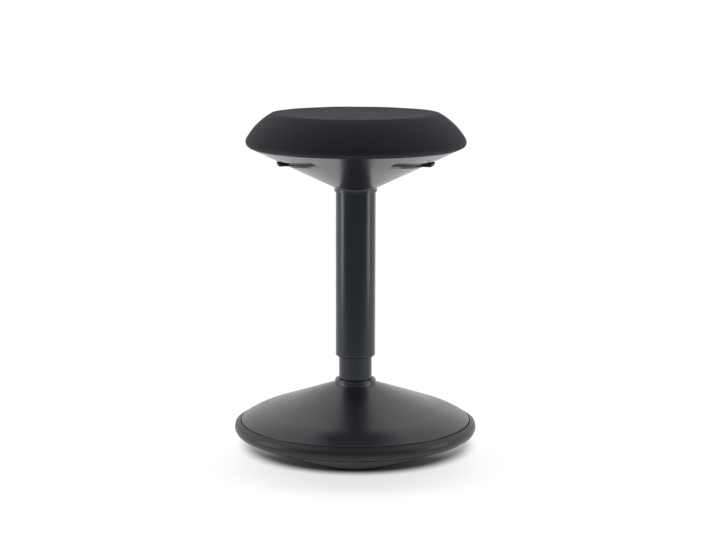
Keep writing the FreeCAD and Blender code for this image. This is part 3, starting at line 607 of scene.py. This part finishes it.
@dataclass(frozen=True)
class KnitFabric:
    """Fine upholstery knit with a soft nap, laid on the cloth's own map; its raised loops carry
    a painted highlight in a lighter copy of its colour.
    """

    name: str
    colour: Colour
    # lit: lighter copy of the colour, put on the raised loops as a painted highlight.
    lit: Colour
    wale: float = 0.0011
    course: float = 0.0009
    depth: float = 0.00022
    roughness: tuple[float, float] = (0.84, 0.96)
    specular: float = 0.25
    sheen: float = 0.12
    sheen_roughness: float = 0.5
    sheen_tint: Colour = (0.75, 0.78, 0.86)
    shade_share: float = 0.25
    nap_share: float = 0.35

    def build(self) -> bpy.types.Material:
        """Make the material.

        Returns:
            The material: knit loops under a fibrous nap, the raised loops painted in the
                lighter lit tone as a painted highlight and the hollows left dark as painted
                shade.
        """
        material, tree, shader, place = start_material(self.name, self.colour)
        cloth = tree.nodes.new("ShaderNodeUVMap")
        cloth.uv_map = CLOTH_MAP
        knit = EFFECTS.place(tree, Effect.KNIT, cloth.outputs["UV"], Wale=self.wale,
                             Course=self.course)
        nap = add_noise(tree, place, scale=2600.0, roughness=0.6)
        shade = add_noise(tree, place, scale=22.0, detail=4.0, roughness=0.6)
        fibres = add_range(tree, nap, low=0.25, high=0.75, to_low=0.35)
        # Painted highlight and painted shade: the raised loops take the lit tone and the
        # hollows keep the dark colour; the nap breaks this up, and the broad noise adds random
        # tone.
        mask = add_math(tree, "MULTIPLY", knit.outputs["Height"], fibres)
        tone = add_math(tree, "MULTIPLY_ADD", shade, self.shade_share, mask, clamp=True)
        vary_colour(tree, shader, tone, self.colour, self.lit)
        link(tree, add_range(tree, nap, *NOISE_SPAN, *self.roughness),
             shader.inputs["Roughness"])
        set_inputs(shader, {"Specular IOR Level": self.specular, "Sheen Weight": self.sheen,
                            "Sheen Roughness": self.sheen_roughness,
                            "Sheen Tint": opaque(self.sheen_tint)})
        height = add_math(tree, "MULTIPLY_ADD", nap, self.nap_share, knit.outputs["Height"])
        bump(tree, shader, height, self.depth)
        return material


Finish = Moulding | Rubber | PowderCoat | BareMetal | CastIron | Plywood

COVER_PLASTIC = Moulding("cover_plastic", (0.0070, 0.0085, 0.0120), roughness=0.29,
                         specular=0.6)
SHELL_PLASTIC = Moulding("shell_plastic", (0.0070, 0.0085, 0.0120), roughness=0.22,
                         specular=0.62)
LEVER_PLASTIC = Moulding("lever_plastic", (0.008, 0.009, 0.011), roughness=0.55, marks=0.8,
                         specular=0.4)
RING_PLASTIC = Moulding("bumper_plastic", (0.0075, 0.0080, 0.0095), roughness=0.38,
                        depth=0.00003, specular=0.36)
TUB_PLASTIC = Moulding("tub_plastic", (0.025, 0.025, 0.027), roughness=0.55)
NYLON = Moulding("black_nylon", (0.035, 0.035, 0.037), roughness=0.45, pitch=0.0005)
BUSH_NYLON = Moulding("natural_nylon", (0.72, 0.71, 0.66), pitch=0.0005)
SOLE_RUBBER = Rubber("sole_rubber", (0.0065, 0.0065, 0.0072), roughness=0.66)
SEAL_RUBBER = Rubber("seal_rubber", (0.03, 0.03, 0.03), roughness=0.6)
SLEEVE_COAT = PowderCoat("sleeve_coat", (0.0055, 0.0068, 0.0092), roughness=0.20)
COLUMN_COAT = PowderCoat("column_coat", (0.0055, 0.0065, 0.0085), roughness=0.17, peel=0.0022)
FRAME_COAT = PowderCoat("frame_coat", (0.024, 0.024, 0.026), roughness=0.42)
GROUND_STEEL = BareMetal("ground_steel", (0.56, 0.57, 0.58), roughness=0.2)
ZINC = BareMetal("zinc_plate", (0.62, 0.62, 0.58), roughness=0.34, lines=700.0)
BALLAST_IRON = CastIron("ballast_iron", (0.055, 0.055, 0.057))
BOARD_PLY = Plywood("birch_plywood", (0.66, 0.50, 0.32), (0.40, 0.27, 0.15))
# The second colour is the lit tone: a painted highlight on the knit's raised loops.
SEAT_KNIT = KnitFabric("seat_knit", (0.0042, 0.0053, 0.0078), (0.0115, 0.0136, 0.0182))

NODE_FINISHES: dict[str, Finish] = {
    "sole": SOLE_RUBBER,
    "base_tub": TUB_PLASTIC,
    "bumper_ring": RING_PLASTIC,
    "base_cover": COVER_PLASTIC,
    "cover_screws": ZINC,
    "ballast_ring": BALLAST_IRON,
    "hub_socket": FRAME_COAT,
    "hub_screws": ZINC,
    "stand_tube": COLUMN_COAT,
    "tube_end_plate": GROUND_STEEL,
    "guide_bush": BUSH_NYLON,
    "lower_bearing_race": GROUND_STEEL,
    "bearing_balls": GROUND_STEEL,
    "ball_cage": NYLON,
    "upper_bearing_race": GROUND_STEEL,
    "piston_rod": GROUND_STEEL,
    "rod_clip": GROUND_STEEL,
    "bump_stop": SEAL_RUBBER,
    "piston": GROUND_STEEL,
    "pressure_tube": COLUMN_COAT,
    "rod_guide": BUSH_NYLON,
    "rod_seal": SEAL_RUBBER,
    "sleeve": SLEEVE_COAT,
    "sleeve_glide": NYLON,
    "sleeve_centring_ring": NYLON,
    "taper_socket": FRAME_COAT,
    "socket_bridge": FRAME_COAT,
    "seat_plate": FRAME_COAT,
    "plate_bolts": ZINC,
    "t_nuts": ZINC,
    "lever_hinge_pins": GROUND_STEEL,
    "left_lever": LEVER_PLASTIC,
    "right_lever": LEVER_PLASTIC,
    "release_pin": GROUND_STEEL,
    "release_cap": NYLON,
    "seat_shell": SHELL_PLASTIC,
    "seat_board": BOARD_PLY,
    "hem_staples": ZINC,
}


def dress_nodes() -> None:
    """Give every CAD node that stays its finish."""
    made: dict[str, bpy.types.Material] = {}
    for node, finish in NODE_FINISHES.items():
        if finish.name not in made:
            made[finish.name] = finish.build()
        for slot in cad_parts[node].material_slots:
            slot.material = made[finish.name]
        log.info("node %s gets %s", node, finish.name)


def rounded_corner(before: Vector, here: Vector, after: Vector, rounding: float,
                   step: float) -> list[Vector]:
    """Points of the arc that rounds one corner of a section.

    Args:
        before: Corner before this one.
        here: The corner.
        after: Corner after this one.
        rounding: Radius of the arc.
        step: Longest distance between points.

    Returns:
        Points from the arc's start to its end.
    """
    fewest_turns = 4
    back = (before - here).normalized()
    ahead = (after - here).normalized()
    half = back.angle(ahead) / 2
    reach = rounding / math.tan(half)
    centre = here + (back + ahead).normalized() * (rounding / math.sin(half))
    start, end = here + back * reach, here + ahead * reach
    sweep = math.pi - 2 * half
    turns = max(fewest_turns, math.ceil(rounding * sweep / step))
    spoke = start - centre
    side = math.copysign(1.0, spoke.cross(end - centre))
    return [centre + Matrix.Rotation(side * sweep * k / turns, 2) @ spoke
            for k in range(turns + 1)]


def rounded_profile(corners: list[Corner], step: float) -> list[tuple[float, float]]:
    """Points along a section whose corners are rounded.

    Args:
        corners: (radius, height) or (radius, height, rounding) in millimetres.
        step: Longest distance between points.

    Returns:
        (radius, height) points from the first corner to the last.
    """
    places = [Vector(corner[:2]) for corner in corners]
    points = [places[0]]
    for i in range(1, len(corners)):
        if len(corners[i]) > 2 and i < len(corners) - 1:
            arc = rounded_corner(places[i - 1], places[i], places[i + 1], corners[i][2], step)
        else:
            arc = [places[i]]
        parts = math.ceil((arc[0] - points[-1]).length / step)
        for k in range(1, parts):
            points.append(points[-1].lerp(arc[0], 1 / (parts - k + 1)))
        points.extend(arc)
    return [(p.x, p.y) for p in points]


@dataclass
class SeatCushion:
    """Foam cushion with its knit cover, turned under the board and stapled there.

    Sizes are in millimetres and follow the CAD section.
    """

    board_r: float = 156.5
    board_low: float = 484.1
    board_top: float = 496.1
    bottom: float = 482.9
    top: float = 534.0
    tuck_r: float = 158.0
    tuck_round: float = 1.2
    hem_r: float = 146.5
    hem_round: float = 0.5
    hem_gap: float = 0.05
    side_gap: float = 0.25
    top_gap: float = 0.1
    dish: float = 4.5
    dish_r: float = 68.0
    dish_round: float = 500.0
    crease_r: float = 125.4
    crease_drop: float = 0.3
    crease_round: float = 1.1
    crest_width: float = 8.4
    crest_round: float = 10.0
    shoulder_width: float = 22.3
    shoulder_drop: float = 13.0
    flank_round: float = 100.0
    overhang: float = 13.2
    roll_rise: float = 3.8
    roll_round: float = 9.0
    segments: int = 128
    step: float = 4.0
    sway: float = 0.7
    sway_full_r: float = 120.0
    sway_pace: float = 1.7
    sway_seed: tuple[float, float] = (3.1, 0.4)
    sway_twist: float = 0.012
    swell: float = 0.45
    swell_pace: float = 2.3
    swell_seed: tuple[float, float] = (9.0, 5.0)
    swell_twist: float = 0.01
    gather_count: int = 44
    gather_depth: float = 0.35
    gather_height: float = 9.0
    gather_drift: float = 2.2
    drift_pace: float = 5.0
    drift_seed: tuple[float, float, float] = (0.0, 0.0, 4.0)
    cloth_frames: int = 12
    cloth_reach: float = 0.8
    cloth_mass: float = 0.3
    cloth_stiffness: float = 20.0
    cloth_bending: float = 6.0
    foam_pressure: float = 4.0
    crease_hold: float = 3.0
    turn_hold: float = 1.5
    side_hold: float = 0.5
    top_hold: float = 1.0

    def section(self) -> list[Corner]:
        """Corners of the cushion's closed section.

        Returns:
            (radius, height) or (radius, height, rounding), from the middle of the top round
            the skin to the hem and back along the board.
        """
        side, seat = self.board_r + self.side_gap, self.board_top + self.top_gap
        return [
            (0.0, self.top - self.dish),
            (self.dish_r, self.top - self.dish, self.dish_round),
            (self.crease_r - self.crest_width, self.top, self.crest_round),
            (self.crease_r, self.top - self.crease_drop, self.crease_round),
            (self.crease_r + self.shoulder_width, self.top - self.shoulder_drop,
             self.flank_round),
            (self.board_r + self.overhang, self.bottom + self.roll_rise, self.roll_round),
            (self.tuck_r, self.bottom, self.tuck_round),
            (self.hem_r, self.bottom, self.hem_round),
            (self.hem_r, self.board_low - self.hem_gap, self.hem_round),
            (side, self.board_low - self.hem_gap),
            (side, seat),
            (0.0, seat),
        ]

    def build(self) -> bpy.types.Object:
        """Make the cushion's mesh with its cloth map.

        Returns:
            The cushion, closed and smooth.
        """
        mesh = bmesh.new()
        self.add_skin(mesh, mesh.loops.layers.uv.new(CLOTH_MAP))
        bmesh.ops.recalc_face_normals(mesh, faces=mesh.faces)
        data = bpy.data.meshes.new("seat_cushion")
        mesh.to_mesh(data)
        mesh.free()
        cushion = bpy.data.objects.new("seat_cushion", data)
        bpy.context.scene.collection.objects.link(cushion)
        return cushion

    def add_skin(self, mesh: bmesh.types.BMesh, uv: bmesh.types.BMLayerItem) -> None:
        """Revolve the section, and lay each face on the flat cloth.

        Args:
            mesh: Mesh that gets the skin.
            uv: Map that takes each corner's place on the flat cloth in metres.
        """
        profile = rounded_profile(self.section(), self.step)
        lengths = [0.0]
        for (r0, z0), (r1, z1) in zip(profile, profile[1:]):
            lengths.append(lengths[-1] + math.hypot(r1 - r0, z1 - z0))
        rings: list[list[bmesh.types.BMVert]] = []
        flat: dict[bmesh.types.BMVert, float] = {}
        for (radius, height), length in zip(profile, lengths):
            count = 1 if radius < ON_AXIS else self.segments
            ring = [mesh.verts.new(self.shaped(radius, height, 2 * math.pi * i / self.segments))
                    for i in range(count)]
            flat.update((vert, length * MM) for vert in ring)
            rings.append(ring)
        for low, high in zip(rings, rings[1:]):
            for i in range(self.segments):
                j = (i + 1) % self.segments
                corners = (low[i % len(low)], high[i % len(high)], high[j % len(high)],
                           low[j % len(low)])
                face = mesh.faces.new(list(dict.fromkeys(corners)))
                face.smooth = True
                middle = 2 * math.pi * (i + 0.5) / self.segments
                for loop in face.loops:
                    place = loop.vert.co
                    angle = (math.atan2(place.y, place.x) if place.xy.length > ON_AXIS
                             else middle)
                    length = flat[loop.vert]
                    loop[uv].uv = (length * math.cos(angle), length * math.sin(angle))

    def shaped(self, radius: float, height: float, angle: float) -> Vector:
        """Place of a skin point, with the unevenness that cut foam and stretched cloth have.

        Args:
            radius: Distance from the axis.
            height: Height above the floor.
            angle: Direction round the axis in radians.

        Returns:
            The point in metres.
        """
        on_skin = height > self.bottom + 0.5 and radius > ON_AXIS
        clear_of_board = radius > self.board_r + 1 or height > self.board_top + 20
        if on_skin and clear_of_board:
            around = Vector((math.cos(angle), math.sin(angle), 0.0))
            spot = around * self.sway_pace + Vector((*self.sway_seed, height * self.sway_twist))
            radius += self.sway * noise.noise(spot) * min(1.0, radius / self.sway_full_r)
            spot = around * self.swell_pace + Vector((*self.swell_seed,
                                                      radius * self.swell_twist))
            height += self.swell * noise.noise(spot)
            tuck = max(0.0, 1.0 - (height - self.bottom) / self.gather_height)
            if radius > self.tuck_r and tuck > 0:
                spot = around * self.drift_pace + Vector(self.drift_seed)
                wave = math.sin(angle * self.gather_count
                                + self.gather_drift * noise.noise(spot))
                radius += self.gather_depth * tuck * wave
        return Vector((radius * math.cos(angle), radius * math.sin(angle), height)) * MM

    def is_held(self, place: Vector) -> bool:
        """Whether the cloth is held at a point: under the turn, at the crease or on the board.

        Args:
            place: Place of the point in metres.

        Returns:
            True where the cloth can't move.
        """
        radius, height = place.xy.length, place.z
        return (height < (self.bottom + self.turn_hold) * MM
                or abs(radius - self.crease_r * MM) < self.crease_hold * MM
                or (radius < (self.board_r + self.side_hold) * MM
                    and height < (self.board_top + self.top_hold) * MM))

    def settle(self, cushion: bpy.types.Object) -> None:
        """Let the knit cover swell over the foam as cloth, held where it turns under.

        Args:
            cushion: The object that build made.
        """
        mesh, scene = cushion.data, bpy.context.scene
        group = cushion.vertex_groups.new(name="held")
        group.add([v.index for v in mesh.vertices if self.is_held(v.co)], 1.0, "REPLACE")
        cover = cushion.modifiers.new("cover", "CLOTH")
        cloth = cover.settings
        cloth.quality = 4
        cloth.mass = self.cloth_mass
        cloth.tension_stiffness = cloth.compression_stiffness = self.cloth_stiffness
        cloth.bending_stiffness = self.cloth_bending
        cloth.use_pressure = True
        cloth.uniform_pressure_force = self.foam_pressure
        cloth.vertex_group_mass = group.name
        cloth.effector_weights.gravity = 0.0
        cover.collision_settings.use_collision = False
        cover.point_cache.frame_start, cover.point_cache.frame_end = 1, self.cloth_frames
        for number in range(1, self.cloth_frames + 1):
            scene.frame_set(number)
        shown = cushion.evaluated_get(bpy.context.evaluated_depsgraph_get())
        moved = [v.co.copy() for v in shown.data.vertices]
        cushion.modifiers.remove(cover)
        widest = 0.0
        for vert, place in zip(mesh.vertices, moved):
            step = place - vert.co
            widest = max(widest, step.length)
            if step.length > self.cloth_reach * MM:
                step.length = self.cloth_reach * MM
            vert.co += step
        scene.frame_set(1)
        log.info("cloth moved up to %.2f mm, kept to %.2f mm", widest / MM, self.cloth_reach)

    def dress(self, cushion: bpy.types.Object) -> None:
        """Finish the cushion, set it in the frame and give it its fabric.

        Args:
            cushion: The object that build made.
        """
        bpy.ops.object.select_all(action="DESELECT")
        cushion.select_set(True)
        bpy.context.view_layer.objects.active = cushion
        self.settle(cushion)
        smooth = cushion.modifiers.new("round", "SUBSURF")
        smooth.levels = smooth.render_levels = 1
        bpy.ops.object.modifier_apply(modifier=smooth.name)
        cushion.data.materials.append(SEAT_KNIT.build())
        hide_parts("foam_pad", "seat_upholstery")
        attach(cushion, Body.SEAT.value)
        log.info("cushion has %d faces", len(cushion.data.polygons))


@dataclass(frozen=True)
class Studio:
    """White sweep, a soft dome, two tall side lamps and the camera of the photograph.

    Sizes are in metres and angles in degrees.
    """

    focal_pixels: float = 1821.16
    picture_width: float = 716.0
    sensor_width: float = 36.0
    clip: tuple[float, float] = (0.05, 1000.0)
    distance: float = 2.7059
    height: float = 0.749
    pitch: float = 9.478
    roll: float = 0.13
    axis_shift_pixels: float = -2.45
    turn: float = 1.4
    floor_half: float = 300.0
    floor_grey: float = 0.32
    floor_glow: float = 0.76
    floor_fade: tuple[float, float] = (-1.0, -0.45)
    # Painted shadow on the floor: the glow is left out of a soft round patch around
    # shadow_place and comes back towards the rear.
    shadow_place: tuple[float, float, float] = (0.0, 0.105, 0.0)
    shadow_reach: tuple[float, float] = (0.156, 0.194)
    shadow_fade: tuple[float, float] = (0.02, 0.27)
    front_level: float = 0.20
    dome_fade: tuple[float, float] = (-0.72, -0.30)
    left_radiance: float = 3.2
    right_radiance: float = 2.7
    lamp_reach: float = 1.6
    lamp_forward: float = -0.25
    lamp_size: tuple[float, float] = (0.55, 1.7)

    def floor(self) -> None:
        """Add the back-lit floor: it glows except in a painted shadow, a soft round patch a
        little behind the base's middle that fades out towards the rear; the floor's own grey
        catches the real shadow as well.
        """
        bpy.ops.object.select_all(action="DESELECT")
        bpy.ops.mesh.primitive_plane_add(size=2 * self.floor_half, location=(0, 0, 0))
        floor = bpy.context.active_object
        floor.name = "studio_floor"
        material, tree, shader, place = start_material("studio_floor", (self.floor_grey,) * 3)
        set_inputs(shader, {"Roughness": 1.0, "Specular IOR Level": 0.0,
                            "Emission Color": opaque(WHITE)})
        gap = tree.nodes.new("ShaderNodeVectorMath")
        gap.operation = "DISTANCE"
        gap.inputs[1].default_value = self.shadow_place
        link(tree, place, gap.inputs[0])
        forward = split_axes(tree, place).outputs["Y"]
        # Painted shadow: no glow within shadow_reach of shadow_place, easing in to full glow
        # beyond it.
        glow_beside_painted_shadow = add_range(tree, gap.outputs["Value"], *self.shadow_reach, 0.0,
                                self.floor_glow, smooth=True)
        # The painted shadow fades out towards the rear.
        behind = add_range(tree, forward, *self.shadow_fade, 0.0, self.floor_glow)
        glow = add_math(tree, "MAXIMUM", glow_beside_painted_shadow, behind)
        fade = add_range(tree, forward, *self.floor_fade, self.front_level, 1.0)
        rays = tree.nodes.new("ShaderNodeLightPath")
        lit = add_math(tree, "MAXIMUM", fade, rays.outputs["Is Camera Ray"])
        link(tree, add_math(tree, "MULTIPLY", glow, lit), shader.inputs["Emission Strength"])
        floor.data.materials.append(material)

    def dome(self) -> None:
        """Set the soft dome, dim behind the camera and white where the camera sees it."""
        world = bpy.data.worlds.new("studio")
        bpy.context.scene.world = world
        world.use_nodes = True
        tree = world.node_tree
        background = tree.nodes["Background"]
        place = tree.nodes.new("ShaderNodeTexCoord")
        forward = split_axes(tree, place.outputs["Generated"]).outputs["Y"]
        level = add_range(tree, forward, *self.dome_fade, self.front_level, 1.0)
        rays = tree.nodes.new("ShaderNodeLightPath")
        link(tree, add_math(tree, "MAXIMUM", level, rays.outputs["Is Camera Ray"]),
             background.inputs["Strength"])
        set_inputs(background, {"Color": opaque(WHITE)})

    def lamps(self) -> None:
        """Stand a tall soft lamp at each side."""
        width, height = self.lamp_size
        for name, side, radiance in (("lamp_left", -1, self.left_radiance),
                                     ("lamp_right", 1, self.right_radiance)):
            data = bpy.data.lights.new(name, "AREA")
            data.shape = "RECTANGLE"
            data.size, data.size_y = width, height
            data.energy = radiance * math.pi * width * height
            lamp = bpy.data.objects.new(name, data)
            bpy.context.scene.collection.objects.link(lamp)
            place = (side * self.lamp_reach, self.lamp_forward, height / 2)
            lamp.matrix_world = (Matrix.Translation(place)
                                 @ Matrix.Rotation(math.radians(90.0 * side), 4, "Z")
                                 @ Matrix.Rotation(math.radians(90.0), 4, "X"))

    def camera(self) -> None:
        """Set the camera where the photograph was taken: above the seat, with a long lens."""
        data = bpy.data.cameras.new("photo_camera")
        data.sensor_fit = "HORIZONTAL"
        data.sensor_width = self.sensor_width
        data.lens = self.sensor_width * self.focal_pixels / self.picture_width
        data.clip_start, data.clip_end = self.clip
        camera = bpy.data.objects.new("photo_camera", data)
        bpy.context.scene.collection.objects.link(camera)
        swing = math.atan2(-self.axis_shift_pixels, self.focal_pixels)
        camera.matrix_world = (Matrix.Rotation(math.radians(self.turn), 4, "Z")
                               @ Matrix.Translation((0, -self.distance, self.height))
                               @ Matrix.Rotation(-swing, 4, "Z")
                               @ Matrix.Rotation(math.radians(90.0 - self.pitch), 4, "X")
                               @ Matrix.Rotation(math.radians(self.roll), 4, "Z"))
        bpy.context.scene.camera = camera

    def build(self) -> None:
        """Make the whole studio."""
        self.floor()
        self.dome()
        self.lamps()
        self.camera()
        bpy.context.scene.view_settings.view_transform = "Standard"
        log.info("studio is set")


def main() -> None:
    """Build the studio, dress the nodes and make the cushion."""
    Studio().build()
    dress_nodes()
    cushion = SeatCushion()
    cushion.dress(cushion.build())


if __name__ == "__main__":
    main()
